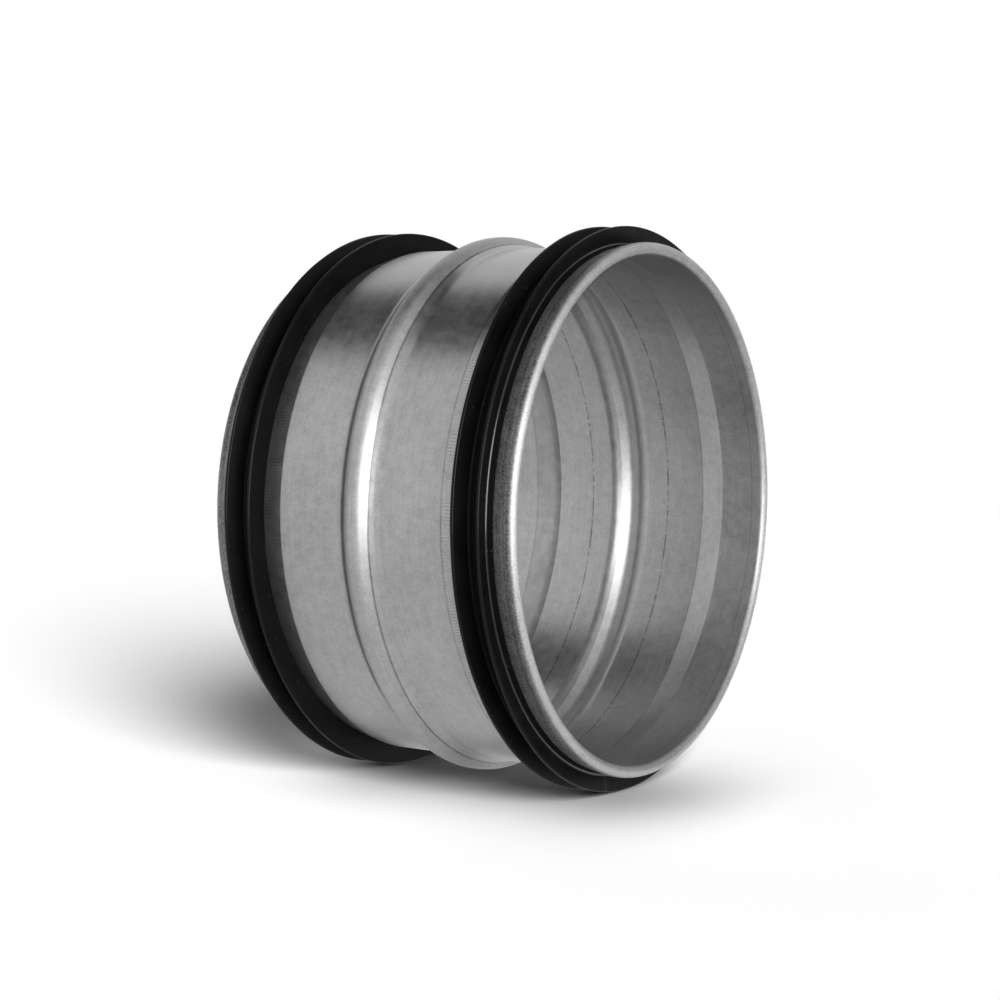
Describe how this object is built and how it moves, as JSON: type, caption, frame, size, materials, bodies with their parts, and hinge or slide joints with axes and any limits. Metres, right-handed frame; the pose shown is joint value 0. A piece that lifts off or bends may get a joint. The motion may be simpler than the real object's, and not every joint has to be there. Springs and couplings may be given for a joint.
{
  "type": "duct connector",
  "caption": "Push-fit connector for round ventilation duct: a galvanised sheet sleeve with a middle stop bead and a double-lip rubber seal on each spigot.",
  "frame": {"origin": "centre of the lower end, on the surface that the connector stands on", "axes": "+Z along the axis of the duct, from the lower spigot to the upper spigot; the two ends are alike"},
  "size_m": [0.1324, 0.1324, 0.0806],
  "materials": {
    "galvanised_sheet": "hot-dip galvanised, satin",
    "gasket_rubber": "extruded, satin black"
  },
  "bodies": {
    "root": {"sleeve": "galvanised_sheet", "upper_gasket": "gasket_rubber", "lower_gasket": "gasket_rubber"}
  },
  "joints": []
}
